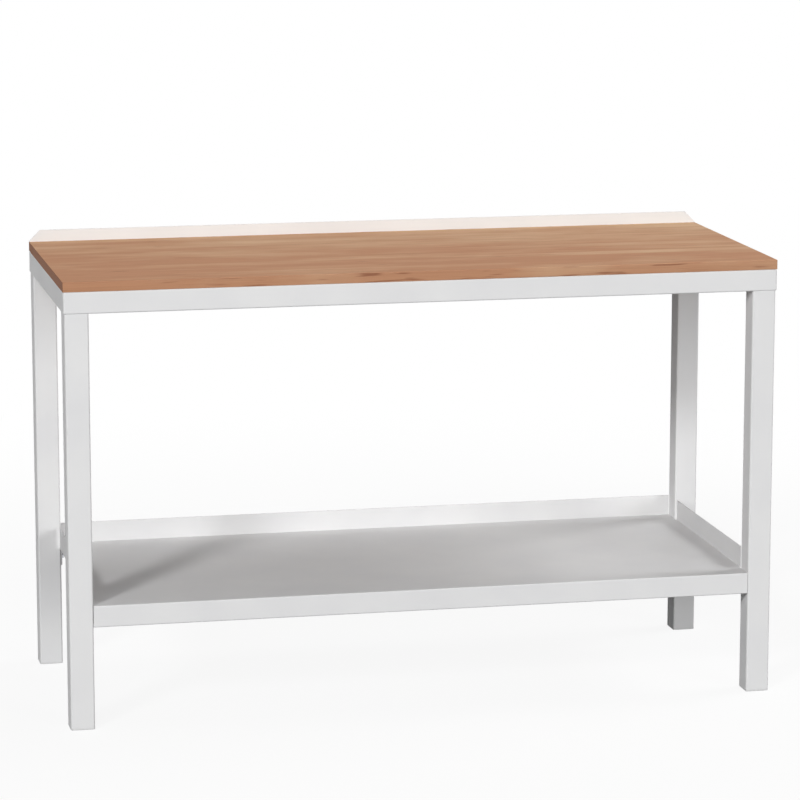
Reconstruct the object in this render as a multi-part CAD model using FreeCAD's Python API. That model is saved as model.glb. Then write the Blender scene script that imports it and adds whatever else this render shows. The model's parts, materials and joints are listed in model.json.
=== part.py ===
import FreeCAD, Part
import math
import os

# A free-standing work table: a butcher block worktop on a folded steel frame,
# with a raised strip along the back of the worktop and a tray shelf near the floor.
# Millimetres. X runs along the table, -Y is the front and +Z is up.
# The origin is on the floor, under the middle of the frame.

Vector = FreeCAD.Vector

# ---------------------------------------------------------------- driving sizes

# Overall
frame_width = 1500.0
frame_depth = 600.0
worktop_height = 930.0          # floor to the top of the wood

# Butcher block
board_thickness = 20.0
stave_count = 15
board_edge_round = 1.0

# Sheet steel of the frame, the raised strip and the shelf
sheet = 2.0
bend_inner = 1.0

# Top frame rails
rail_height = 45.0
rail_flange = 32.0              # top flange, under the wood
rail_return = 15.0              # bottom flange, between the legs
rail_corner_round = 4.0
return_clearance = 1.0          # bottom flange to leg or bracket

# Legs
leg_size = 50.0
leg_wall = 2.0
leg_corner_round = 4.0

# Plastic feet
foot_plate = 4.0
foot_plug_height = 20.0
foot_plug_wall = 2.5
foot_plug_clearance = 0.1
foot_core_round = 1.0
foot_edge_chamfer = 1.0

# Angle brackets that make each top corner into a socket for a leg
socket_sheet = 3.0
socket_rise = 2.0               # bottom of the rail to the bottom of the bracket

# Cross bearers under the wood
bearer_width = 40.0
bearer_height = 27.0
bearer_spacing = 500.0
bearer_end_clearance = 0.5

# Raised strip along the back
upstand_height = 25.0           # above the wood
upstand_foot = 30.0             # hidden flange under the wood
upstand_chamfer = 24.0

# Shelf
shelf_sheet = 1.5
shelf_height = 260.0            # floor to the top of the shelf
shelf_lip = 45.0                # front edge, folded down
shelf_lip_return = 12.0
shelf_upstand = 45.0            # back and side edges, folded up
shelf_leg_clearance = 0.5       # lip and back edge to the legs
shelf_wing_offset = 2.0         # inner face of a side edge, outside the legs' inner faces
shelf_wing_gap = 10.0           # end of a side edge to the leg
stiffener_sheet = 1.5
stiffener_width = 32.0
stiffener_flange = 12.0
stiffener_height = 20.0
stiffener_spacing = 200.0
stiffener_end_gap = 15.0

# Shelf brackets
shelf_bracket_sheet = 3.0
shelf_bracket_arm = 38.0
shelf_bracket_length = 40.0

# Bolt heads and nuts
hexagon_sides = 6
hexagon_bevel_share = 1.04      # radius of the bevelled end, in halves of the width over flats

# Frame bolts, M8
leg_bolt_radius = 3.9
leg_bolt_length = 14.0
leg_bolt_flats = 13.0
leg_bolt_head = 5.3
washer_radius = 8.0
washer_thickness = 1.6

# Shelf bracket bolts and shelf nuts, M6
shelf_bolt_radius = 2.9
shelf_bolt_length = 12.0
shelf_bolt_flats = 10.0
shelf_bolt_head = 4.0
shelf_bolt_spacing = 22.0
shelf_stud_length = 14.0
shelf_nut_height = 5.0
stud_spacing = 20.0

# Rivet nuts in the legs
rivet_nut_wall = 1.6
rivet_nut_bulge = 1.4
rivet_nut_bulge_length = 4.0
rivet_nut_length = 13.0
thread_clearance = 0.1
bolt_hole_clearance = 0.5

# Wood screws
screw_radius = 2.2
screw_length = 16.0             # from under the head
screw_point = 4.0
screw_tip_radius = 0.55
screw_head_radius = 4.5
screw_head_height = 2.6
screw_head_round = 1.3
screw_edge_inset = 20.0         # from the outside of the frame
screw_corner_inset = 120.0
screw_pitch = 420.0             # greatest gap between neighbours
pilot_clearance = 0.05
screw_hole_clearance = 0.55

# ---------------------------------------------------------------- worked-out places

half_width = frame_width / 2
half_depth = frame_depth / 2
bend_outer = bend_inner + sheet
board_bottom = worktop_height - board_thickness
rail_bottom = board_bottom - rail_height
flange_bottom = board_bottom - sheet

leg_outer_x = half_width - sheet
leg_outer_y = half_depth - sheet
leg_inner_x = leg_outer_x - leg_size
leg_inner_y = leg_outer_y - leg_size
leg_middle_x = leg_outer_x - leg_size / 2
leg_middle_y = leg_outer_y - leg_size / 2
leg_top = flange_bottom - bend_inner

board_front = -half_depth
board_back = half_depth - sheet
stave_width = (board_back - board_front) / stave_count

socket_x = leg_inner_x - socket_sheet
socket_y = leg_inner_y - socket_sheet
socket_bolt_height = (rail_bottom + flange_bottom) / 2

shelf_bottom = shelf_height - shelf_sheet
shelf_edge_x = leg_inner_x - shelf_leg_clearance
shelf_wing_x = leg_inner_x + shelf_wing_offset
shelf_wing_y = leg_inner_y - shelf_wing_gap
shelf_bolt_height = shelf_bottom - shelf_bracket_arm / 2
shelf_bracket_x = leg_inner_x - shelf_bracket_arm
stud_x = (shelf_bracket_x + leg_inner_x - shelf_bracket_sheet) / 2

overlap = 5.0                   # how far a cutting tool runs past what it cuts

# ---------------------------------------------------------------- drawing helpers


def across_x(x):
    """Places a section's (a, b) at (y, z) in the plane of that x."""
    return lambda a, b: Vector(x, a, b)


def across_y(y):
    """Places a section's (a, b) at (x, z) in the plane of that y."""
    return lambda a, b: Vector(a, y, b)


def across_z(z):
    """Places a section's (a, b) at (x, y) in the plane of that z."""
    return lambda a, b: Vector(a, b, z)


def unit(vector):
    return vector / vector.Length


def section(corners, place):
    """A face bounded by (a, b, radius) corners, each rounded by a tangent arc."""
    count = len(corners)
    points = [place(a, b) for a, b, radius in corners]
    turns = []
    for index, point in enumerate(points):
        radius = corners[index][2]
        if radius == 0:
            turns.append((point, None, point))
            continue
        back = unit(points[index - 1] - point)
        ahead = unit(points[(index + 1) % count] - point)
        half_angle = back.getAngle(ahead) / 2
        inward = unit(back + ahead)
        centre = point + inward * (radius / math.sin(half_angle))
        reach = radius / math.tan(half_angle)
        turns.append((point + back * reach, centre - inward * radius, point + ahead * reach))
    edges = []
    for index, (start, middle, end) in enumerate(turns):
        if middle is not None:
            edges.append(Part.Arc(start, middle, end).toShape())
        following = turns[(index + 1) % count][0]
        if (following - end).Length > Part.Precision.confusion():
            edges.append(Part.LineSegment(end, following).toShape())
    return Part.Face(Part.Wire(edges))


def box(low, high):
    """A box between two opposite corners."""
    size = high - low
    return Part.makeBox(size.x, size.y, size.z, low)


def square_prism(half_x, half_y, bottom, top, radius):
    """An upright prism about the Z axis with rounded vertical edges."""
    corners = [
        (-half_x, -half_y, radius),
        (half_x, -half_y, radius),
        (half_x, half_y, radius),
        (-half_x, half_y, radius),
    ]
    return section(corners, across_z(bottom)).extrude(Vector(0, 0, top - bottom))


def level_edges(shape, height):
    """The edges of a shape that lie flat at one height."""
    near = Part.Precision.confusion()
    return [
        edge
        for edge in shape.Edges
        if abs(edge.BoundBox.ZMin - height) < near and abs(edge.BoundBox.ZMax - height) < near
    ]


def rounded_block(half_x, half_y, bottom, top, corner, edge):
    """A square prism with its top and bottom edges rounded as well."""
    block = square_prism(half_x, half_y, bottom, top, corner)
    return block.makeFillet(edge, level_edges(block, bottom) + level_edges(block, top))


def rod(start, direction, radius, length):
    return Part.makeCylinder(radius, length, start, direction)


def hexagon(start, direction, flats, length):
    """A hexagonal prism that grows from start along direction, for a bolt head or a nut."""
    corner_radius = flats / math.sqrt(3)
    turn = FreeCAD.Rotation(Vector(0, 0, 1), direction)
    points = []
    for step in range(hexagon_sides + 1):
        angle = 2 * math.pi * step / hexagon_sides
        corner = Vector(corner_radius * math.cos(angle), corner_radius * math.sin(angle), 0)
        points.append(start + turn.multVec(corner))
    prism = Part.Face(Part.makePolygon(points)).extrude(direction * length)
    bevel = flats / 2 * hexagon_bevel_share
    return prism.common(Part.makeCone(bevel, bevel + length, length, start + direction * length,
                                      direction * -1))


def mirror_x(shape):
    return shape.mirror(Vector(0, 0, 0), Vector(1, 0, 0))


def mirror_y(shape):
    return shape.mirror(Vector(0, 0, 0), Vector(0, 1, 0))


def at_corners(shape):
    """The four copies of a shape that is drawn at the rear right corner."""
    left = mirror_x(shape)
    return {
        "front_left": mirror_y(left),
        "front_right": mirror_y(shape),
        "rear_left": left,
        "rear_right": shape,
    }


def spread(low, high, pitch):
    """Even places from low to high, no further apart than pitch."""
    gaps = max(1, math.ceil((high - low) / pitch))
    return [low + (high - low) * step / gaps for step in range(gaps + 1)]


def solids_of(shapes):
    """One compound that keeps every shape as a separate solid."""
    return Part.makeCompound([solid for shape in shapes for solid in shape.Solids])


# ---------------------------------------------------------------- fasteners


def bolt(seat, direction, radius, length, flats, head):
    """A hexagon bolt. seat is under the head and direction points to the tip."""
    shank = rod(seat, direction, radius, length)
    return hexagon(seat, direction * -1, flats, head).fuse(shank).removeSplitter()


def washer(face, direction):
    """A plain washer that lies on face, on the side that direction points away from."""
    ring = rod(face, direction * -1, washer_radius, washer_thickness)
    bore = leg_bolt_radius + bolt_hole_clearance
    return ring.cut(rod(face, direction * -1, bore, washer_thickness))


def rivet_nut(face, direction, bolt_radius):
    """A flush threaded insert, set into a leg wall whose outside is at face."""
    sleeve_radius = bolt_radius + rivet_nut_wall
    sleeve = rod(face, direction, sleeve_radius, rivet_nut_length)
    bulge = rod(face + direction * leg_wall, direction,
                sleeve_radius + rivet_nut_bulge, rivet_nut_bulge_length)
    bore = rod(face, direction, bolt_radius + thread_clearance, rivet_nut_length)
    return sleeve.fuse(bulge).cut(bore).removeSplitter()


def wood_screw(x, y, grown=0.0):
    """The threaded part of a screw that points up. grown makes the hole that it fits."""
    start = Vector(x, y, flange_bottom)
    radius = screw_radius + grown
    straight = screw_length - screw_point
    point_start = start + Vector(0, 0, straight)
    point = Part.makeCone(radius, screw_tip_radius + grown, screw_point + grown, point_start)
    return rod(start, Vector(0, 0, 1), radius, straight).fuse(point).removeSplitter()


def pan_head(x, y):
    """The domed head of a wood screw, under a flange."""
    top = Vector(x, y, flange_bottom)
    head = rod(top, Vector(0, 0, -1), screw_head_radius, screw_head_height)
    return head.makeFillet(screw_head_round, level_edges(head, flange_bottom - screw_head_height))


# ---------------------------------------------------------------- where the screws go


def stave_middle(y):
    """The middle line of the stave that lies over y."""
    index = math.floor((y - board_front) / stave_width)
    return board_front + (index + 0.5) * stave_width


bearer_places = [-bearer_spacing / 2, bearer_spacing / 2]
row_y = half_depth - screw_edge_inset
row_x = spread(-half_width + screw_corner_inset, half_width - screw_corner_inset, screw_pitch)
side_x = half_width - screw_edge_inset
side_y = [
    stave_middle(y)
    for y in spread(-half_depth + screw_corner_inset, half_depth - screw_corner_inset, screw_pitch)
]
bearer_y = [stave_middle(-half_depth / 2), stave_middle(half_depth / 2)]

rear_screws = [(x, row_y) for x in row_x]
frame_screws = [(x, -row_y) for x in row_x]
frame_screws += [(x, y) for x in (-side_x, side_x) for y in side_y]
bearer_screws = [(x, y) for x in bearer_places for y in bearer_y]
all_screws = rear_screws + frame_screws + bearer_screws


def drilled(shape, places):
    """A shape with screw clearance holes through its flange."""
    radius = screw_radius + screw_hole_clearance
    holes = [
        rod(Vector(x, y, flange_bottom - overlap), Vector(0, 0, 1), radius,
            board_thickness + 2 * overlap)
        for x, y in places
    ]
    return shape.cut(holes)


# ---------------------------------------------------------------- top frame


def frame_ring():
    """All four rails as one ring: web, top flange and bottom flange."""
    ring = rounded_block(half_width, half_depth, rail_bottom, board_bottom,
                         rail_corner_round, bend_outer)
    hollow = rounded_block(half_width - sheet, half_depth - sheet, rail_bottom + sheet,
                           flange_bottom, rail_corner_round - sheet, bend_inner)
    top_opening = square_prism(half_width - rail_flange, half_depth - rail_flange,
                               rail_bottom + sheet, board_bottom + overlap, bend_outer)
    bottom_opening = square_prism(half_width - rail_return, half_depth - rail_return,
                                  rail_bottom - overlap, flange_bottom, bend_outer)
    notch = box(
        Vector(socket_x - return_clearance, socket_y - return_clearance, rail_bottom - overlap),
        Vector(leg_outer_x, leg_outer_y, leg_top - bend_inner),
    )
    ring = ring.cut([hollow, top_opening, bottom_opening])
    ring = ring.cut(list(at_corners(notch).values()))
    return drilled(ring, rear_screws + frame_screws)


def mitre(corners):
    """A wedge with 45 degree ends that picks one rail out of the ring."""
    flat = [(x, y, 0) for x, y in corners]
    return section(flat, across_z(rail_bottom - overlap)).extrude(
        Vector(0, 0, rail_height + 2 * overlap))


def rails():
    ring = frame_ring()
    out_x = half_width + overlap
    out_y = half_depth + overlap
    reach = rail_flange + overlap
    in_x = half_width - reach
    in_y = half_depth - reach
    rear = mitre([(-out_x, out_y), (out_x, out_y), (in_x, in_y), (-in_x, in_y)])
    right = mitre([(out_x, out_y), (out_x, -out_y), (in_x, -in_y), (in_x, in_y)])
    wedges = {
        "front_rail": mirror_y(rear),
        "rear_rail": rear,
        "left_rail": mirror_x(right),
        "right_rail": right,
    }
    return {name: ring.common(wedge) for name, wedge in wedges.items()}


def cross_bearer(x):
    """A channel open downwards, flush with the top flanges, its walls coped to the webs."""
    low = board_bottom - bearer_height
    half = bearer_width / 2
    top_end = half_depth - rail_flange - bearer_end_clearance
    corners = [
        (x - half, low, 0),
        (x - half, board_bottom, bend_outer),
        (x + half, board_bottom, bend_outer),
        (x + half, low, 0),
        (x + half - sheet, low, 0),
        (x + half - sheet, flange_bottom, bend_inner),
        (x - half + sheet, flange_bottom, bend_inner),
        (x - half + sheet, low, 0),
    ]
    channel = section(corners, across_y(-top_end)).extrude(Vector(0, 2 * top_end, 0))
    tab = [
        (leg_outer_y, low, 0),
        (leg_outer_y, leg_top, 0),
        (leg_outer_y - bend_inner, flange_bottom, 0),
        (-leg_outer_y + bend_inner, flange_bottom, 0),
        (-leg_outer_y, leg_top, 0),
        (-leg_outer_y, low, 0),
    ]
    for wall in (x - half, x + half - sheet):
        strip = section(tab, across_x(wall)).extrude(Vector(sheet, 0, 0))
        strip = strip.cut(box(Vector(wall, -top_end, flange_bottom - bend_outer),
                              Vector(wall + sheet, top_end, board_bottom)))
        channel = channel.fuse(strip)
    return drilled(channel.removeSplitter(), bearer_screws)


# ---------------------------------------------------------------- legs, feet and sockets


def leg():
    """The rear right leg: a square tube with holes for its rivet nuts."""
    middle = Vector(leg_middle_x, leg_middle_y, 0)
    inner = leg_size / 2 - leg_wall
    tube = square_prism(leg_size / 2, leg_size / 2, foot_plate, leg_top, leg_corner_round)
    tube = tube.cut(square_prism(inner, inner, foot_plate, leg_top, leg_corner_round - leg_wall))
    tube.translate(middle)
    holes = [
        rod(face, direction, leg_bolt_radius + rivet_nut_wall, leg_wall)
        for face, direction in leg_bolt_places()
    ]
    holes += [
        rod(face, direction, shelf_bolt_radius + rivet_nut_wall, leg_wall)
        for face, direction in shelf_bolt_places()
    ]
    return tube.cut(holes)


def leg_foot():
    """The plastic foot under the rear right leg: a plate and a hollow plug."""
    outside = leg_size / 2
    plug = outside - leg_wall - foot_plug_clearance
    plug_round = leg_corner_round - leg_wall
    plug_top = foot_plate + foot_plug_height
    plate = square_prism(outside, outside, 0, foot_plate, leg_corner_round)
    plate = plate.makeChamfer(foot_edge_chamfer, level_edges(plate, 0))
    post = square_prism(plug, plug, foot_plate, plug_top, plug_round)
    post = post.makeChamfer(foot_edge_chamfer, level_edges(post, plug_top))
    core = plug - foot_plug_wall
    post = post.cut(square_prism(core, core, foot_plate, plug_top, foot_core_round))
    foot = plate.fuse(post).removeSplitter()
    foot.translate(Vector(leg_middle_x, leg_middle_y, 0))
    return foot


def leg_bolt_places():
    """(point on the leg, direction) of each frame bolt at the rear right corner."""
    return [
        (Vector(leg_inner_x, leg_middle_y, socket_bolt_height), Vector(1, 0, 0)),
        (Vector(leg_middle_x, leg_inner_y, socket_bolt_height), Vector(0, 1, 0)),
    ]


def corner_socket():
    """An angle round the leg's two inner faces, welded to the webs of two rails."""
    corners = [
        (socket_x, socket_y, bend_inner + socket_sheet),
        (leg_outer_x, socket_y, 0),
        (leg_outer_x, leg_inner_y, 0),
        (leg_inner_x, leg_inner_y, bend_inner),
        (leg_inner_x, leg_outer_y, 0),
        (socket_x, leg_outer_y, 0),
    ]
    low = rail_bottom + socket_rise
    angle = section(corners, across_z(low)).extrude(Vector(0, 0, leg_top - low))
    hole = leg_bolt_radius + bolt_hole_clearance
    return angle.cut([
        rod(face - direction * socket_sheet, direction, hole, socket_sheet)
        for face, direction in leg_bolt_places()
    ])


def leg_bolts():
    made = []
    for face, direction in leg_bolt_places():
        seat = face - direction * (socket_sheet + washer_thickness)
        made.append(bolt(seat, direction, leg_bolt_radius, leg_bolt_length,
                         leg_bolt_flats, leg_bolt_head))
    return made


def leg_washers():
    return [washer(face - direction * socket_sheet, direction)
            for face, direction in leg_bolt_places()]


def leg_rivet_nuts():
    return [rivet_nut(face, direction, leg_bolt_radius) for face, direction in leg_bolt_places()]


# ---------------------------------------------------------------- shelf


def shelf_tray():
    """One sheet: a flat shelf, a lip folded down in front, edges folded up behind and beside."""
    lip_bottom = shelf_height - shelf_lip
    rim = shelf_height + shelf_upstand
    front = -leg_outer_y
    back = leg_outer_y
    bend = bend_inner + shelf_sheet
    corners = [
        (front + shelf_lip_return, lip_bottom, 0),
        (front, lip_bottom, bend),
        (front, shelf_height, bend),
        (back - shelf_sheet, shelf_height, bend_inner),
        (back - shelf_sheet, rim, 0),
        (back, rim, 0),
        (back, shelf_bottom, bend),
        (front + shelf_sheet, shelf_bottom, bend_inner),
        (front + shelf_sheet, lip_bottom + shelf_sheet, bend_inner),
        (front + shelf_lip_return, lip_bottom + shelf_sheet, 0),
    ]
    tray = section(corners, across_x(-shelf_edge_x)).extrude(Vector(2 * shelf_edge_x, 0, 0))
    wing_root = shelf_edge_x - bend
    wing = [
        (wing_root, shelf_bottom, 0),
        (shelf_wing_x + shelf_sheet, shelf_bottom, bend),
        (shelf_wing_x + shelf_sheet, rim, 0),
        (shelf_wing_x, rim, 0),
        (shelf_wing_x, shelf_height, bend_inner),
        (wing_root, shelf_height, 0),
    ]
    side = section(wing, across_y(-shelf_wing_y)).extrude(Vector(0, 2 * shelf_wing_y, 0))
    return tray.fuse([side, mirror_x(side)]).removeSplitter()


def shelf_stiffener(y):
    """A top-hat section spot welded under the shelf, along it."""
    top = shelf_bottom
    low = top - stiffener_height
    thick = stiffener_sheet
    half = stiffener_width / 2
    wide = half + stiffener_flange
    bend = bend_inner + thick
    end = shelf_bracket_x - stiffener_end_gap
    corners = [
        (y - wide, top, 0),
        (y - half + thick, top, bend),
        (y - half + thick, low + thick, bend_inner),
        (y + half - thick, low + thick, bend_inner),
        (y + half - thick, top, bend),
        (y + wide, top, 0),
        (y + wide, top - thick, 0),
        (y + half, top - thick, bend_inner),
        (y + half, low, bend),
        (y - half, low, bend),
        (y - half, top - thick, bend_inner),
        (y - wide, top - thick, 0),
    ]
    return section(corners, across_x(-end)).extrude(Vector(2 * end, 0, 0))


def shelf_bolt_places():
    """(point on the leg, direction) of each shelf bracket bolt at the rear right corner."""
    return [
        (Vector(leg_inner_x, leg_middle_y + shift, shelf_bolt_height), Vector(1, 0, 0))
        for shift in (-shelf_bolt_spacing / 2, shelf_bolt_spacing / 2)
    ]


def stud_places():
    """The top of each weld stud at the rear right corner."""
    return [
        Vector(stud_x, leg_middle_y + shift, shelf_bottom)
        for shift in (-stud_spacing / 2, stud_spacing / 2)
    ]


def shelf_bracket():
    """An angle that is bolted to the leg and carries the shelf."""
    thick = shelf_bracket_sheet
    low = shelf_bottom - shelf_bracket_arm
    corners = [
        (leg_inner_x, low, 0),
        (leg_inner_x, shelf_bottom, bend_inner + thick),
        (shelf_bracket_x, shelf_bottom, 0),
        (shelf_bracket_x, shelf_bottom - thick, 0),
        (leg_inner_x - thick, shelf_bottom - thick, bend_inner),
        (leg_inner_x - thick, low, 0),
    ]
    start = leg_middle_y - shelf_bracket_length / 2
    angle = section(corners, across_y(start)).extrude(Vector(0, shelf_bracket_length, 0))
    hole = shelf_bolt_radius + bolt_hole_clearance
    holes = [rod(face - direction * thick, direction, hole, thick)
             for face, direction in shelf_bolt_places()]
    holes += [rod(top, Vector(0, 0, -1), hole, thick) for top in stud_places()]
    return angle.cut(holes)


def shelf_bolts():
    made = []
    for face, direction in shelf_bolt_places():
        seat = face - direction * shelf_bracket_sheet
        made.append(bolt(seat, direction, shelf_bolt_radius, shelf_bolt_length,
                         shelf_bolt_flats, shelf_bolt_head))
    return made


def shelf_rivet_nuts():
    return [rivet_nut(face, direction, shelf_bolt_radius)
            for face, direction in shelf_bolt_places()]


def shelf_studs():
    return [rod(top, Vector(0, 0, -1), shelf_bolt_radius, shelf_stud_length)
            for top in stud_places()]


def shelf_nuts():
    made = []
    down = Vector(0, 0, -1)
    for top in stud_places():
        seat = top + down * shelf_bracket_sheet
        nut = hexagon(seat, down, shelf_bolt_flats, shelf_nut_height)
        made.append(nut.cut(rod(seat, down, shelf_bolt_radius + thread_clearance,
                                shelf_nut_height)))
    return made


# ---------------------------------------------------------------- worktop


def staves():
    """The glued hardwood staves, front to back. The last one is rebated for the strip's foot."""
    pilot_holes = solids_of([wood_screw(x, y, pilot_clearance) for x, y in all_screws])
    blank = box(Vector(-half_width, board_front, board_bottom),
                Vector(half_width, board_back, worktop_height))
    foot_top = board_bottom + sheet
    rebate_section = [
        (half_depth - upstand_foot, board_bottom - overlap, 0),
        (half_depth - upstand_foot, foot_top, 0),
        (board_back - bend_inner, foot_top, 0),
        (board_back + overlap, foot_top + bend_inner + overlap, 0),
        (board_back + overlap, board_bottom - overlap, 0),
    ]
    rebate = section(rebate_section, across_x(-half_width)).extrude(Vector(frame_width, 0, 0))
    outer_edges = [
        edge
        for edge in blank.Edges
        if edge.BoundBox.YMax < board_back or edge.BoundBox.ZMin > board_bottom
    ]
    board = blank.makeFillet(board_edge_round, outer_edges).cut([rebate, pilot_holes])
    made = {}
    for index in range(stave_count):
        front = board_front + index * stave_width
        slab = box(Vector(-half_width - overlap, front, board_bottom - overlap),
                   Vector(half_width + overlap, front + stave_width, worktop_height + overlap))
        made[f"worktop_stave_{index + 1:02d}"] = board.common(slab)
    return made


def rear_upstand():
    """A folded strip behind the wood, with clipped top corners and a foot under the wood."""
    top = worktop_height + upstand_height
    corners = [
        (half_depth - upstand_foot, board_bottom, 0),
        (half_depth, board_bottom, bend_outer),
        (half_depth, top, 0),
        (half_depth - sheet, top, 0),
        (half_depth - sheet, board_bottom + sheet, bend_inner),
        (half_depth - upstand_foot, board_bottom + sheet, 0),
    ]
    strip = section(corners, across_x(-half_width)).extrude(Vector(frame_width, 0, 0))
    clip = [
        (half_width - upstand_chamfer, top, 0),
        (half_width + overlap, top - upstand_chamfer - overlap, 0),
        (half_width + overlap, top + overlap, 0),
        (half_width - upstand_chamfer, top + overlap, 0),
    ]
    clipped = section(clip, across_y(leg_inner_y)).extrude(Vector(0, leg_size + sheet + overlap, 0))
    return drilled(strip.cut([clipped, mirror_x(clipped)]), rear_screws)


def board_screws():
    return [wood_screw(x, y).fuse(pan_head(x, y)).removeSplitter() for x, y in all_screws]


# ---------------------------------------------------------------- assembly


def everywhere(shapes):
    """All four corners' copies of some small pieces, as one group of separate solids."""
    return solids_of([copy for shape in shapes for copy in at_corners(shape).values()])


parts = {}
parts.update(rails())
parts.update(staves())

corner_pieces = {
    "leg": leg(),
    "foot": leg_foot(),
    "leg_socket": corner_socket(),
    "shelf_bracket": shelf_bracket(),
}
for kind, shape in corner_pieces.items():
    for corner, copy in at_corners(shape).items():
        parts[f"{kind}_{corner}"] = copy

parts["cross_bearer_left"] = cross_bearer(bearer_places[0])
parts["cross_bearer_right"] = cross_bearer(bearer_places[1])
parts["rear_upstand"] = rear_upstand()
parts["shelf_tray"] = shelf_tray()
parts["shelf_stiffener_front"] = shelf_stiffener(-stiffener_spacing / 2)
parts["shelf_stiffener_rear"] = shelf_stiffener(stiffener_spacing / 2)

parts["leg_bolts"] = everywhere(leg_bolts())
parts["leg_bolt_washers"] = everywhere(leg_washers())
parts["leg_rivet_nuts"] = everywhere(leg_rivet_nuts())
parts["shelf_bracket_bolts"] = everywhere(shelf_bolts())
parts["shelf_rivet_nuts"] = everywhere(shelf_rivet_nuts())
parts["shelf_studs"] = everywhere(shelf_studs())
parts["shelf_nuts"] = everywhere(shelf_nuts())
parts["board_screws"] = solids_of(board_screws())

os.makedirs("parts", exist_ok=True)
for name, shape in parts.items():
    solids = shape.Solids
    whole = solids[0] if len(solids) == 1 else Part.makeCompound(solids)
    whole.exportStep(f"parts/{name}.step")
    print(f"{name}: {len(solids)} solids, valid {whole.isValid()}, {whole.Volume / 1000:.1f} cm3")
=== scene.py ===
import json
import math

import bmesh
import bpy
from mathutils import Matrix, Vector


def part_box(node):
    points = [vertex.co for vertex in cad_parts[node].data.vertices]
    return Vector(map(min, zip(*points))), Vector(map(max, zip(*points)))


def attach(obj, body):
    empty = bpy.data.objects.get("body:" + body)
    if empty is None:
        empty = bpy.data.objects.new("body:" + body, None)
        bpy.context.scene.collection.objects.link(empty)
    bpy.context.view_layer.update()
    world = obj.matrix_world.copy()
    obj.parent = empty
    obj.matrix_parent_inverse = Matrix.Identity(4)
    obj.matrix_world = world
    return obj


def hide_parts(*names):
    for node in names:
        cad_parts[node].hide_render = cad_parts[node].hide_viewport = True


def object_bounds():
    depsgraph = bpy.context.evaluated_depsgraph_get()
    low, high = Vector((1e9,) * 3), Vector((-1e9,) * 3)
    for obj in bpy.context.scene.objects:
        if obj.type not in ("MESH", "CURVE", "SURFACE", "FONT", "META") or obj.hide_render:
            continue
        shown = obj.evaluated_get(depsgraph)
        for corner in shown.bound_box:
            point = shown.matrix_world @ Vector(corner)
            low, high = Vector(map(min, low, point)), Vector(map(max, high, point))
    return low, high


# The looks of a butcher block table: powder-coated steel frame and shelf, glued hardwood
# staves, plastic feet and zinc-plated fasteners. Metres, in the CAD model's own frame.

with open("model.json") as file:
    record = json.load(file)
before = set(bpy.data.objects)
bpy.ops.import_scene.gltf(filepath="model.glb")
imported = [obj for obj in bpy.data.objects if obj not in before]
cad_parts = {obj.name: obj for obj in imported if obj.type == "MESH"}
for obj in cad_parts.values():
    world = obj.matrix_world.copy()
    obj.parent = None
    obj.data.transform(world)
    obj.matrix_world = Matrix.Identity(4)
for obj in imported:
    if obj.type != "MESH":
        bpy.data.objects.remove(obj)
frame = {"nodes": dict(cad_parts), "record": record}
cad_low, cad_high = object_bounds()

CORNERS = ["front_left", "front_right", "rear_left", "rear_right"]
WHITE = (1.0, 1.0, 1.0, 1.0)

# ---------------------------------------------------------------- camera and light

VIEW_AZIMUTH = -12.2            # degrees from straight in front, towards the left
VIEW_ELEVATION = 10.58          # degrees
VIEW_DISTANCE = 7.72
VIEW_HEIGHT = 0.635             # share of the object's height that the camera looks at
VIEW_SIDE = 0.007               # how far right of the middle the camera looks
LENS = 162.0                    # millimetres

WORLD_LIGHT = 0.02
BACKGROUND = 1.0                # a strength of 1 is white

# name, azimuth and elevation in degrees, distance, width, watts
LIGHTS = [
    ("key", -19.0, 15.0, 24.0, 10.0, 1825.0),
    ("key_small", -38.0, 28.0, 24.0, 4.0, 2600.0),
    ("left", -68.0, 12.0, 24.0, 8.0, 480.0),
    ("fill", 32.0, 8.0, 24.0, 10.0, 2370.0),
    ("high_right", 100.0, 44.0, 14.0, 6.0, 750.0),
    ("rear", 165.0, 38.0, 14.0, 6.0, 100.0),
    ("back", 130.0, 5.0, 14.0, 6.0, 560.0),
]


def direction(azimuth, elevation):
    """A unit vector from the object. Azimuth 0 is the front and 90 is the right."""
    a, e = math.radians(azimuth), math.radians(elevation)
    return Vector((math.sin(a) * math.cos(e), -math.cos(a) * math.cos(e), math.sin(e)))


def aim(obj, target):
    obj.rotation_mode = "QUATERNION"
    obj.rotation_quaternion = (target - obj.location).to_track_quat("-Z", "Y")


def make_camera():
    data = bpy.data.cameras.new("camera")
    data.lens = LENS
    camera = bpy.data.objects.new("camera", data)
    bpy.context.scene.collection.objects.link(camera)
    target = Vector((VIEW_SIDE, 0, VIEW_HEIGHT * cad_high.z))
    camera.location = target + direction(VIEW_AZIMUTH, VIEW_ELEVATION) * VIEW_DISTANCE
    aim(camera, target)
    bpy.context.scene.camera = camera


def make_light(name, azimuth, elevation, distance, width, watts):
    data = bpy.data.lights.new(name, "AREA")
    data.shape = "DISK"
    data.size = width
    data.energy = watts
    light = bpy.data.objects.new(name, data)
    bpy.context.scene.collection.objects.link(light)
    middle = (cad_low + cad_high) / 2
    light.location = middle + direction(azimuth, elevation) * distance
    aim(light, middle)
    light.visible_camera = False


def seen_directly(tree):
    """1 where a ray comes from the camera, a reflection or through glass, and 0 elsewhere."""
    path = tree.nodes.new("ShaderNodeLightPath")
    total = path.outputs["Is Camera Ray"]
    for name in ("Is Glossy Ray", "Is Transmission Ray"):
        larger = tree.nodes.new("ShaderNodeMath")
        larger.operation = "MAXIMUM"
        tree.links.new(total, larger.inputs[0])
        tree.links.new(path.outputs[name], larger.inputs[1])
        total = larger.outputs[0]
    return total


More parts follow.
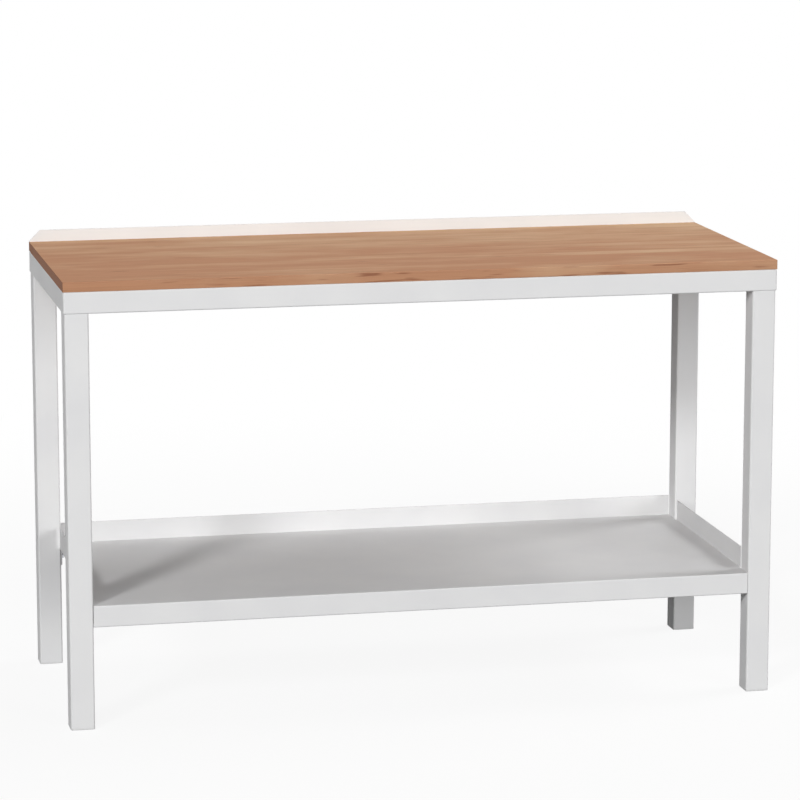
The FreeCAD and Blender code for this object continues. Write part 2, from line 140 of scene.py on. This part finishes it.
def make_world():
    """A white background that sends hardly any light to the object."""
    world = bpy.data.worlds.new("world")
    world.use_nodes = True
    tree = world.node_tree
    light = tree.nodes["Background"]
    seen = tree.nodes.new("ShaderNodeBackground")
    for background, strength in ((light, WORLD_LIGHT), (seen, BACKGROUND)):
        background.inputs["Color"].default_value = WHITE
        background.inputs["Strength"].default_value = strength
    either = tree.nodes.new("ShaderNodeMixShader")
    tree.links.new(seen_directly(tree), either.inputs[0])
    tree.links.new(light.outputs[0], either.inputs[1])
    tree.links.new(seen.outputs[0], either.inputs[2])
    tree.links.new(either.outputs[0], tree.nodes["World Output"].inputs["Surface"])
    bpy.context.scene.world = world


# ---------------------------------------------------------------- building a material

NOISE_LOW = 0.3                 # most of a noise's values lie between these two
NOISE_HIGH = 0.7


def colour(red, green, blue):
    """A colour written as 0 to 255 in sRGB, as the linear values that shaders take."""
    def linear(value):
        share = value / 255
        return share / 12.92 if share <= 0.04045 else ((share + 0.055) / 1.055) ** 2.4
    return (linear(red), linear(green), linear(blue), 1.0)


class Finish:
    """One material, with short ways to add its nodes."""

    def __init__(self, name, roughness, specular=None, metallic=0.0):
        self.material = bpy.data.materials.new(name)
        self.material.use_nodes = True
        self.tree = self.material.node_tree
        self.shader = self.tree.nodes["Principled BSDF"]
        self.roughness = roughness
        self.set("Roughness", roughness)
        self.set("Metallic", metallic)
        if specular is not None:
            self.set("Specular IOR Level", specular)
        self.place = self.node("ShaderNodeTexCoord").outputs["Object"]

    def node(self, kind, inputs=None, **settings):
        made = self.tree.nodes.new(kind)
        for name, value in settings.items():
            setattr(made, name, value)
        for name, value in (inputs or {}).items():
            self.feed(made.inputs[name], value)
        return made

    def feed(self, socket, value):
        if isinstance(value, bpy.types.NodeSocket):
            self.tree.links.new(value, socket)
        else:
            socket.default_value = value

    def set(self, name, value):
        self.feed(self.shader.inputs[name], value)

    def math(self, operation, *values):
        inputs = dict(enumerate(values))
        return self.node("ShaderNodeMath", inputs, operation=operation).outputs[0]

    def vector_math(self, operation, first, second):
        inputs = {0: first, 1: second}
        return self.node("ShaderNodeVectorMath", inputs, operation=operation).outputs[0]

    def spread(self, value, low, high, to_low=0.0, to_high=1.0):
        """value, from low to high, carried to the range to_low to to_high and kept there."""
        inputs = {"Value": value, "From Min": low, "From Max": high,
                  "To Min": to_low, "To Max": to_high}
        return self.node("ShaderNodeMapRange", inputs).outputs["Result"]

    def mix(self, share, first, second, blend="MIX"):
        made = self.node("ShaderNodeMix", data_type="RGBA", blend_type=blend)
        self.feed(made.inputs[0], share)
        self.feed(made.inputs[6], first)
        self.feed(made.inputs[7], second)
        return made.outputs[2]

    def noise(self, scale, vector=None, detail=2.0, roughness=0.5):
        inputs = {"Vector": vector or self.place, "Scale": scale, "Detail": detail,
                  "Roughness": roughness}
        return self.node("ShaderNodeTexNoise", inputs).outputs["Fac"]

    def drift(self, noise, shades, low=0.0, high=1.0):
        """Colours the material from the first shade to the second as noise goes from low to high."""
        first, second = shades
        share = self.spread(noise, low, high)
        self.set("Base Color", self.mix(share, colour(*first), colour(*second)))

    def vary_roughness(self, noise, low, high, change):
        """Moves the roughness by change to each side as noise goes from low to high."""
        self.set("Roughness", self.spread(noise, low, high, self.roughness - change,
                                          self.roughness + change))

    def bump(self, height, distance, normal=None):
        inputs = {"Height": height, "Distance": distance}
        if normal is not None:
            inputs["Normal"] = normal
        self.set("Normal", self.node("ShaderNodeBump", inputs).outputs["Normal"])


# ---------------------------------------------------------------- painted steel, plastic and zinc

# Each pair of shades is 0 to 255 in sRGB. Scales are how often a noise repeats in a metre.
FRAME_SHADES = ((222, 222, 222), (217, 217, 218))
SHELF_SHADES = ((221, 221, 221), (216, 216, 217))
STRIP_SHADES = ((224, 224, 223), (220, 220, 219))
FRAME_ROUGHNESS = 0.42
SHELF_ROUGHNESS = 0.44
COAT_SPECULAR = 0.06
COAT_ROUNDING = 0.0006          # radius that the coat gives to an edge
COAT_DRIFT_SCALE = 7.0
PEEL_SCALE = 620.0
PEEL_HEIGHT = 0.00006
SPECK_SCALE = 2600.0
SPECK_ROUGHNESS = 0.05


def powder_coat(name, shades, roughness):
    """Powder coat: a fine orange peel, a slow drift in tone, and edges rounded by the coat."""
    finish = Finish(name, roughness, COAT_SPECULAR)
    finish.drift(finish.noise(COAT_DRIFT_SCALE, detail=3.0), shades, NOISE_LOW, NOISE_HIGH)
    specks = finish.noise(SPECK_SCALE, detail=0.0)
    finish.vary_roughness(specks, NOISE_LOW, NOISE_HIGH, SPECK_ROUGHNESS)
    rounded = finish.node("ShaderNodeBevel", {"Radius": COAT_ROUNDING}, samples=4)
    finish.bump(finish.noise(PEEL_SCALE, detail=1.0), PEEL_HEIGHT, rounded.outputs["Normal"])
    return finish.material


WELD_SHADES = ((214, 214, 215), (200, 200, 201))
WELD_ROUGHNESS = 0.5
WELD_DRIFT_SCALE = 500.0
WELD_GRAIN_SCALE = 1500.0
WELD_GRAIN_HEIGHT = 0.00012


def weld_paint(name):
    """Powder coat over a weld: a little darker and rougher."""
    finish = Finish(name, WELD_ROUGHNESS, COAT_SPECULAR)
    finish.drift(finish.noise(WELD_DRIFT_SCALE, detail=3.0), WELD_SHADES)
    finish.bump(finish.noise(WELD_GRAIN_SCALE), WELD_GRAIN_HEIGHT)
    return finish.material


FOOT_SHADES = ((218, 218, 218), (211, 211, 211))
PLASTIC_ROUGHNESS = 0.55
PLASTIC_SPECULAR = 0.1
PLASTIC_DRIFT_SCALE = 40.0
PLASTIC_GRAIN_SCALE = 1800.0
PLASTIC_GRAIN_HEIGHT = 0.00003


def moulded_plastic(name, shades):
    finish = Finish(name, PLASTIC_ROUGHNESS, PLASTIC_SPECULAR)
    finish.drift(finish.noise(PLASTIC_DRIFT_SCALE), shades)
    finish.bump(finish.noise(PLASTIC_GRAIN_SCALE), PLASTIC_GRAIN_HEIGHT)
    return finish.material


ZINC_SHADES = ((214, 216, 220), (178, 182, 190))
ZINC_ROUGHNESS = 0.34
ZINC_CLOUD_SCALE = 320.0
ZINC_BRUSHING_SCALE = 900.0
ZINC_BRUSHING_ROUGHNESS = 0.08


def zinc(name):
    """Zinc plate: metal with a cloudy passivated tone and fine brushing."""
    finish = Finish(name, ZINC_ROUGHNESS, metallic=1.0)
    finish.drift(finish.noise(ZINC_CLOUD_SCALE, detail=3.0), ZINC_SHADES)
    brushing = finish.noise(ZINC_BRUSHING_SCALE)
    finish.vary_roughness(brushing, NOISE_LOW, NOISE_HIGH, ZINC_BRUSHING_ROUGHNESS)
    return finish.material


# ---------------------------------------------------------------- the wood

TAN = (225, 187, 150)
RED = (200, 147, 112)
BAND = (164, 114, 84)
LINE = (150, 102, 76)
STREAK = (120, 68, 50)
END_PALE = (160, 114, 88)
END_DARK = (134, 92, 70)
EDGE_PAINTED_SHADE = (0.92, 0.97, 1.00, 1.0)      # linear; painted shade that darkens the long edges, which the lamps light more than the top

WOOD_ROUGHNESS = 0.59
WOOD_SPECULAR = 0.03
LINE_ROUGHNESS = 0.07
LINE_LOW = 0.3                          # the line noise's values over which the roughness moves
LINE_HIGH = 0.8
LINE_HEIGHT = 0.00008

# Each noise of the wood: how often it repeats in a metre along X, Y and Z, detail, roughness
FIGURES = {
    "broad": ((2.2, 9.0, 9.0), 2.0, 0.5),
    "patches": ((6.5, 24.0, 24.0), 4.0, 0.6),
    "stave_patches": ((3.6, 8.0, 8.0), 3.0, 0.5),
    "bands": ((2.6, 95.0, 95.0), 4.0, 0.6),
    "lines": ((7.0, 420.0, 420.0), 3.0, 0.5),
    "flecks": ((170.0, 1500.0, 900.0), 1.0, 0.5),
    "streaks": ((12.0, 140.0, 140.0), 1.5, 0.5),
}
ACROSS_STAVES = ("broad", "patches", "flecks")      # these run on from one stave to the next
STAVE_SHIFT = (9.0, 3.0, 3.0)           # the rest are moved by up to this much in each stave

# How far each of these takes the wood from tan to red
TONE_SHIFT = -0.15
TONE_OF_FIGURES = {"broad": 0.6, "patches": 0.6, "stave_patches": 1.1}
TONE_OF_STAVE = 0.22
# Painted sheen: the wood turns tan towards the back, by how light falls on the top and not by its
# own tone
PAINTED_SHEEN_TO_BACK = -0.42
TONE_TO_RIGHT = -0.22
TAN_TONE = 0.30                         # wholly tan at this tone and under it
RED_TONE = 0.95                         # wholly red at this tone and over it

# Darker grain: its noise, the value where it starts, where it is full, its strength, its colour
GRAIN = [
    ("bands", 0.48, 0.74, 0.30, BAND),
    ("lines", 0.52, 0.80, 0.30, LINE),
    ("flecks", 0.66, 0.74, 0.22, LINE),
]
STREAK_START = 0.69
STREAK_FULL = 0.80
STREAK_STRENGTH = 0.60
STREAKS_ON_EDGES = 0.08                 # added to the noise there, so that more streaks show
GLUE_WIDTH = 0.006                      # share of a stave's width, to each side of the joint
GLUE_STRENGTH = 0.22
RING_SCALE = 85.0
RING_DISTORTION = 1.2
RING_LEAST = 0.1                        # share of the dark end grain between two rings
RING_MOST = 0.8                         # and in a ring
FACING_START = 0.6                      # a face counts as facing along an axis from this share
FACING_FULL = 0.8                       # of its normal, and wholly from this one


def wood_ground(finish, noises, stave_value, board_low):
    """The wood's colour under the grain, between tan and red, paled towards the back by a painted
    sheen.
    """
    x, y, _ = finish.node("ShaderNodeSeparateXYZ", {0: finish.place}).outputs
    painted_sheen = finish.spread(y, board_low.y, -board_low.y)
    to_right = finish.spread(x, board_low.x, -board_low.x)
    parts = [(noises[figure], weight) for figure, weight in TONE_OF_FIGURES.items()]
    parts += [(stave_value, TONE_OF_STAVE), (painted_sheen, PAINTED_SHEEN_TO_BACK), (to_right, TONE_TO_RIGHT)]
    tone = TONE_SHIFT
    for value, weight in parts:
        tone = finish.math("MULTIPLY_ADD", value, weight, tone)
    return finish.mix(finish.spread(tone, TAN_TONE, RED_TONE), colour(*TAN), colour(*RED))


def end_grain(finish, own_place):
    """End grain, with each stave's rings about its own heart."""
    end_place = finish.vector_math("MULTIPLY", own_place, (0.0, 1.0, 1.0))
    inputs = {"Vector": end_place, "Scale": RING_SCALE, "Distortion": RING_DISTORTION,
              "Detail": 2.0}
    rings = finish.node("ShaderNodeTexWave", inputs, wave_type="RINGS", rings_direction="X")
    dark = finish.spread(rings.outputs["Fac"], 0.0, 1.0, RING_LEAST, RING_MOST)
    return finish.mix(dark, colour(*END_PALE), colour(*END_DARK))


def hardwood(name, board_low, stave_width):
    """Oiled beech staves. Grain runs along X, and each stave has its own tone and figure."""
    finish = Finish(name, WOOD_ROUGHNESS, WOOD_SPECULAR)
    y = finish.node("ShaderNodeSeparateXYZ", {0: finish.place}).outputs[1]
    across = finish.math("DIVIDE", finish.math("SUBTRACT", y, board_low.y), stave_width)
    stave = finish.node("ShaderNodeTexWhiteNoise", {"W": finish.math("FLOOR", across)},
                        noise_dimensions="1D").outputs
    shift = finish.vector_math("MULTIPLY", stave["Color"], STAVE_SHIFT)
    own_place = finish.vector_math("ADD", finish.place, shift)
    noises = {}
    for figure, (repeats, detail, roughness) in FIGURES.items():
        place = finish.place if figure in ACROSS_STAVES else own_place
        stretched = finish.vector_math("MULTIPLY", place, repeats)
        noises[figure] = finish.noise(1.0, stretched, detail, roughness)

    normal = finish.node("ShaderNodeTexCoord").outputs["Normal"]
    facing_x, facing_y, _ = finish.node("ShaderNodeSeparateXYZ", {0: normal}).outputs
    is_end = finish.spread(finish.math("ABSOLUTE", facing_x), FACING_START, FACING_FULL)
    is_edge = finish.spread(finish.math("ABSOLUTE", facing_y), FACING_START, FACING_FULL)

    wood = wood_ground(finish, noises, stave["Value"], board_low)
    for figure, start, full, strength, shade in GRAIN:
        dark = finish.spread(noises[figure], start, full, 0.0, strength)
        wood = finish.mix(dark, wood, colour(*shade))
    streaks = finish.math("MULTIPLY_ADD", is_edge, STREAKS_ON_EDGES, noises["streaks"])
    streaks = finish.spread(streaks, STREAK_START, STREAK_FULL, 0.0, STREAK_STRENGTH)
    wood = finish.mix(streaks, wood, colour(*STREAK))
    from_joint = finish.math("PINGPONG", across, 0.5)
    glue = finish.spread(from_joint, 0.0, GLUE_WIDTH, GLUE_STRENGTH, 0.0)
    wood = finish.mix(glue, wood, colour(*STREAK))
    # Painted shade: the long edges are darkened and made less red, to match the top
    wood = finish.mix(is_edge, wood, EDGE_PAINTED_SHADE, blend="MULTIPLY")
    wood = finish.mix(is_end, wood, end_grain(finish, own_place))

    finish.set("Base Color", wood)
    finish.vary_roughness(noises["lines"], LINE_LOW, LINE_HIGH, LINE_ROUGHNESS)
    finish.bump(noises["lines"], LINE_HEIGHT)
    return finish.material


# ---------------------------------------------------------------- making pieces


def piece(name, mesh, material):
    obj = bpy.data.objects.new(name, mesh)
    bpy.context.scene.collection.objects.link(obj)
    mesh.materials.append(material)
    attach(obj, "root")
    return obj


def to_mesh(name, shape, smooth_angle):
    """A mesh that is shaded smooth where faces meet at less than smooth_angle degrees."""
    bmesh.ops.recalc_face_normals(shape, faces=shape.faces)
    mesh = bpy.data.meshes.new(name)
    shape.to_mesh(mesh)
    shape.free()
    mesh.shade_smooth()
    mesh.set_sharp_from_angle(angle=math.radians(smooth_angle))
    return mesh


SAME_POINT = 1e-6               # points nearer to each other than this are one


def solids_in(node):
    """(lowest, highest) corner of each separate solid in a CAD node."""
    shape = bmesh.new()
    shape.from_mesh(frame["nodes"][node].data)
    bmesh.ops.remove_doubles(shape, verts=shape.verts, dist=SAME_POINT)
    left = set(shape.verts)
    found = []
    while left:
        group, edge = set(), [left.pop()]
        while edge:
            vert = edge.pop()
            group.add(vert)
            for link in vert.link_edges:
                other = link.other_vert(vert)
                if other in left:
                    left.remove(other)
                    edge.append(other)
        points = [v.co.copy() for v in group]
        low = Vector([min(p[i] for p in points) for i in range(3)])
        high = Vector([max(p[i] for p in points) for i in range(3)])
        found.append((low, high))
    shape.free()
    return sorted(found, key=lambda pair: tuple(round(v, 5) for v in pair[0]))


def skin(shape, rings):
    """Faces between successive rings of points, closed at both ends."""
    made = [[shape.verts.new(p) for p in ring] for ring in rings]
    for low, high in zip(made, made[1:]):
        count = len(low)
        for i in range(count):
            j = (i + 1) % count
            shape.faces.new((low[i], low[j], high[j], high[i]))
    shape.faces.new(list(reversed(made[0])))
    shape.faces.new(made[-1])


THREAD_SIDES = 28
THREAD_STEPS = 8                # rings in one turn of the thread
THREAD_LEAST = 0.1              # least radius under a crest, as a share of the crest's


def thread_rings(middle, bottom, top, radius_at, pitch, depth):
    """Rings of an upright thread. radius_at gives the crest's radius at a height."""
    count = max(2, round((top - bottom) / pitch * THREAD_STEPS))
    rings = []
    for step in range(count + 1):
        z = bottom + (top - bottom) * step / count
        crest = radius_at(z)
        ring = []
        for side in range(THREAD_SIDES):
            turn = side / THREAD_SIDES
            wave = abs(2 * ((z / pitch - turn) % 1.0) - 1)
            radius = max(crest - depth * wave, crest * THREAD_LEAST)
            angle = 2 * math.pi * turn
            ring.append(Vector((middle.x + radius * math.cos(angle),
                                middle.y + radius * math.sin(angle), z)))
        rings.append(ring)
    return rings


STUD_PITCH = 0.001
STUD_DEPTH = 0.00054
STUD_LEAD = 0.0008              # length of the tapered tip


def make_studs(material):
    """The weld studs under the shelf, with their threads."""
    shape = bmesh.new()
    for low, high in solids_in("shelf_studs"):
        middle = (low + high) / 2
        full = (high.x - low.x) / 2

        def radius_at(z, low=low, full=full):
            return full - STUD_LEAD / 2 * max(0.0, 1 - (z - low.z) / STUD_LEAD)

        skin(shape, thread_rings(middle, low.z, high.z, radius_at, STUD_PITCH, STUD_DEPTH))
    mesh = to_mesh("shelf_stud_threads", shape, smooth_angle=60)
    studs = piece("shelf_stud_threads", mesh, material)
    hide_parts("shelf_studs")


SCREW_PITCH = 0.0022
SCREW_THREAD_DEPTH = 0.0005
SCREW_HEAD = 0.0026
SCREW_RADIUS = 0.0022
SCREW_POINT = 0.004
SCREW_TIP = 0.25                # radius at the very tip, as a share of the screw's
HEAD_RIM = 0.35                 # share of the head's height that its upright rim takes
HEAD_FLAT = 0.62                # share of the head's radius that is flat at the bottom
RECESS_ARM = 0.0023
RECESS_HALF = 0.00048
RECESS_DEPTH = 0.0015
RECESS_OVER = 0.0006            # how far the cutter stands out of the head
RECESS_MOUTH = 1.15             # the arms' size at the cutter's outer end
RECESS_FLOOR = 0.45             # and at its inner end
DOME_STEPS = 8


def head_rings(middle, seat, radius, height):
    """Rings of a domed head that hangs under its seat, from the seat down."""
    rings = []
    for step in range(DOME_STEPS + 1):
        angle = math.pi / 2 * step / DOME_STEPS
        drop = height * (HEAD_RIM + (1 - HEAD_RIM) * math.sin(angle)) if step else 0.0
        width = radius * (HEAD_FLAT + (1 - HEAD_FLAT) * math.cos(angle)) if step else radius
        rings.append([Vector((middle.x + width * math.cos(2 * math.pi * k / THREAD_SIDES),
                              middle.y + width * math.sin(2 * math.pi * k / THREAD_SIDES),
                              seat - drop)) for k in range(THREAD_SIDES)])
    return rings


def cross_cutter(middle, bottom):
    """Two crossed bars that narrow as they go in, for the recess of a screw's head."""
    shape = bmesh.new()
    ends = ((bottom - RECESS_OVER, RECESS_MOUTH), (bottom + RECESS_DEPTH, RECESS_FLOOR))
    for turn in (0.0, math.pi / 2):
        along = Vector((math.cos(turn), math.sin(turn), 0))
        beside = Vector((-math.sin(turn), math.cos(turn), 0))
        rings = []
        for z, share in ends:
            centre = Vector((middle.x, middle.y, z))
            a, b = along * RECESS_ARM * share, beside * RECESS_HALF * share
            rings.append([centre - a - b, centre + a - b, centre + a + b, centre - a + b])
        skin(shape, rings)
    return to_mesh("cutter", shape, smooth_angle=30)


def carved(body, cutter):
    """body's mesh with cutter taken out of it."""
    target = bpy.data.objects.new("carved", body)
    tool = bpy.data.objects.new("tool", cutter)
    for obj in (target, tool):
        bpy.context.scene.collection.objects.link(obj)
    cut = target.modifiers.new("cut", "BOOLEAN")
    cut.operation = "DIFFERENCE"
    cut.solver = "EXACT"
    cut.use_self = True
    cut.object = tool
    seen = bpy.context.evaluated_depsgraph_get()
    made = bpy.data.meshes.new_from_object(target.evaluated_get(seen))
    for obj in (target, tool):
        bpy.data.objects.remove(obj)
    return made


def make_screws(material):
    """The wood screws: domed heads with a cross recess, and threads up into the wood."""
    heads = bmesh.new()
    shanks = bmesh.new()
    for low, high in solids_in("board_screws"):
        middle = (low + high) / 2
        seat = low.z + SCREW_HEAD
        single = bmesh.new()
        skin(single, head_rings(middle, seat, (high.x - low.x) / 2, SCREW_HEAD))
        head = carved(to_mesh("head", single, smooth_angle=40), cross_cutter(middle, low.z))
        heads.from_mesh(head)

        def radius_at(z, high=high):
            return SCREW_RADIUS * min(1.0, SCREW_TIP + (1 - SCREW_TIP) * (high.z - z) / SCREW_POINT)

        skin(shanks, thread_rings(middle, seat, high.z, radius_at, SCREW_PITCH,
                                  SCREW_THREAD_DEPTH))
    head_mesh = to_mesh("board_screw_heads", heads, smooth_angle=35)
    shank_mesh = to_mesh("board_screw_threads", shanks, smooth_angle=60)
    screws = piece("board_screw_heads", head_mesh, material)
    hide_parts("board_screws")
    piece("board_screw_threads", shank_mesh, material)


BEAD_SIZE = 0.0034
BEAD_RIPPLE = 0.0024            # from one ripple of the bead to the next
BEAD_STEPS = 6                  # rings in one ripple
BEAD_ARC = 7
BEAD_SINK = 0.12                # how deep a ripple dips, as a share of the bead
BEAD_TIP = 0.35                 # size of a bead's end, as a share of the bead
BEAD_WAIST = 0.82               # size midway round the bead, as a share of its legs


def weld_bead(shape, bottom, top, first, second):
    """An upright fillet weld in the corner between two faces that run along first and second."""
    length = (top - bottom).length
    count = max(4, round(length / BEAD_RIPPLE * BEAD_STEPS))
    rings = []
    for step in range(count + 1):
        share = step / count
        centre = bottom.lerp(top, share)
        ripple = 1 - BEAD_SINK * abs(math.sin(math.pi * share * length / BEAD_RIPPLE))
        from_end = min(share, 1 - share) * length
        taper = min(1.0, BEAD_TIP + (1 - BEAD_TIP) * from_end / BEAD_SIZE)
        size = BEAD_SIZE * ripple * taper
        ring = [centre]
        for k in range(BEAD_ARC + 1):
            angle = math.pi / 2 * k / BEAD_ARC
            reach = size * (BEAD_WAIST + (1 - BEAD_WAIST) * abs(math.cos(2 * angle)))
            ring.append(centre + (first * math.cos(angle) + second * math.sin(angle)) * reach)
        rings.append(ring)
    skin(shape, rings)


def make_welds(material):
    """Fillet welds where the leg sockets and the cross bearers meet the rails' webs."""
    shape = bmesh.new()
    for corner in CORNERS:
        low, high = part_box(f"leg_socket_{corner}")
        side = 1 if "right" in corner else -1
        back = 1 if "rear" in corner else -1
        inner = Vector((low.x if side > 0 else high.x, low.y if back > 0 else high.y, 0))
        outer = Vector((high.x if side > 0 else low.x, high.y if back > 0 else low.y, 0))
        for x, y in ((outer.x, inner.y), (inner.x, outer.y)):
            weld_bead(shape, Vector((x, y, low.z + BEAD_SIZE)), Vector((x, y, high.z - BEAD_SIZE)),
                      Vector((-side, 0, 0)), Vector((0, -back, 0)))
    for name in ("cross_bearer_left", "cross_bearer_right"):
        low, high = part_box(name)
        for x, out in ((low.x, -1), (high.x, 1)):
            for y, back in ((low.y, -1), (high.y, 1)):
                weld_bead(shape, Vector((x, y, low.z + BEAD_SIZE / 2)),
                          Vector((x, y, high.z - BEAD_SIZE * 2)),
                          Vector((out, 0, 0)), Vector((0, -back, 0)))
    mesh = to_mesh("frame_weld_beads", shape, smooth_angle=50)
    piece("frame_weld_beads", mesh, material)


# ---------------------------------------------------------------- finishes on the CAD nodes


def make_materials():
    """The material of each slot in the record."""
    low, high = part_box("worktop_stave_01")
    return {
        "frame_paint": powder_coat("frame_powder_coat", FRAME_SHADES, FRAME_ROUGHNESS),
        "shelf_paint": powder_coat("shelf_powder_coat", SHELF_SHADES, SHELF_ROUGHNESS),
        "upstand_paint": powder_coat("strip_powder_coat", STRIP_SHADES, FRAME_ROUGHNESS),
        "beech": hardwood("beech", low, high.y - low.y),
        "foot_plastic": moulded_plastic("foot_plastic", FOOT_SHADES),
        "zinc_plate": zinc("zinc_plate"),
    }


def paint_nodes(materials):
    """Gives each CAD node the material that its record's slot is made with."""
    for row in frame["record"]["subparts"]:
        obj = frame["nodes"][row["node"]]
        obj.data.materials.clear()
        obj.data.materials.append(materials[row["material_slot"]])


# ---------------------------------------------------------------- floor

FLOOR_REACH = 60.0
FLOOR_ROUGHNESS = 0.9
FLOOR_PALE = 0.95
FLOOR_BOUNCE = 0.12             # how much light the floor sends back up to the object
FLOOR_SEEN = 0.90               # share of plain white where it is seen directly; the rest is lit
FLOOR_NEAR = 1.2                # metres from the object's middle; beyond them that share grows to 1
FLOOR_FAR = 3.2


def floor_finish():
    """Seen directly the floor is mostly its own white, and it keeps a soft shadow."""
    finish = Finish("floor", FLOOR_ROUGHNESS, specular=0.0)
    seen = seen_directly(finish.tree)
    finish.set("Base Color", finish.spread(seen, 0.0, 1.0, FLOOR_BOUNCE, FLOOR_PALE))
    away = finish.node("ShaderNodeVectorMath", {0: finish.place}, operation="LENGTH")
    inputs = {"Value": away.outputs["Value"], "From Min": FLOOR_NEAR, "From Max": FLOOR_FAR,
              "To Min": FLOOR_SEEN}
    whiter = finish.node("ShaderNodeMapRange", inputs, interpolation_type="SMOOTHSTEP")
    white = finish.node("ShaderNodeEmission", {"Color": WHITE})
    share = finish.math("MULTIPLY", seen, whiter.outputs["Result"])
    either = finish.node("ShaderNodeMixShader", {0: share, 1: finish.shader.outputs[0],
                                                 2: white.outputs[0]})
    finish.feed(finish.tree.nodes["Material Output"].inputs["Surface"], either.outputs[0])
    return finish.material


def make_floor():
    shape = bmesh.new()
    bmesh.ops.create_grid(shape, x_segments=8, y_segments=8, size=FLOOR_REACH)
    mesh = bpy.data.meshes.new("floor")
    shape.to_mesh(mesh)
    shape.free()
    mesh.materials.append(floor_finish())
    floor = bpy.data.objects.new("floor", mesh)
    bpy.context.scene.collection.objects.link(floor)


# ---------------------------------------------------------------- the scene

make_camera()
make_world()
for light in LIGHTS:
    make_light(*light)
make_floor()

materials = make_materials()
paint_nodes(materials)
make_studs(materials["zinc_plate"])
make_screws(materials["zinc_plate"])
make_welds(weld_paint("weld_powder_coat"))

bpy.context.scene.view_settings.view_transform = "Standard"
